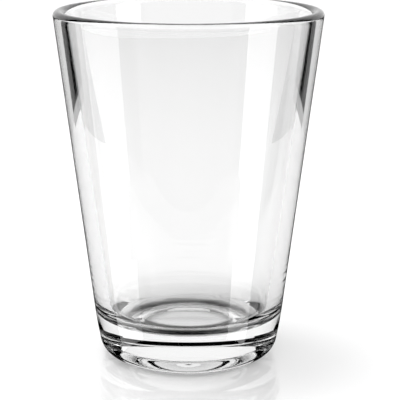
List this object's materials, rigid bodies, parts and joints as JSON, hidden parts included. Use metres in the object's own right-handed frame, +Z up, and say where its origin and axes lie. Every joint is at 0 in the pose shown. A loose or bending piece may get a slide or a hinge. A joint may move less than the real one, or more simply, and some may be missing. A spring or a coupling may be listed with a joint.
{
  "type": "water glass",
  "caption": "Tapered clear glass tumbler with a rounded rim, a heavy floor and a recessed underside, for drinking water.",
  "frame": {"origin": "on the glass's axis, at the level of the bearing ring it stands on", "axes": "+Z up along the axis the glass is round about; X and Y are free, because the glass is a solid of revolution"},
  "size_m": [0.0908, 0.0908, 0.12],
  "materials": {
    "clear_glass": "clear soda-lime glass, pressed and fire-polished smooth"
  },
  "bodies": {
    "root": {"tumbler": "clear_glass"}
  },
  "joints": []
}
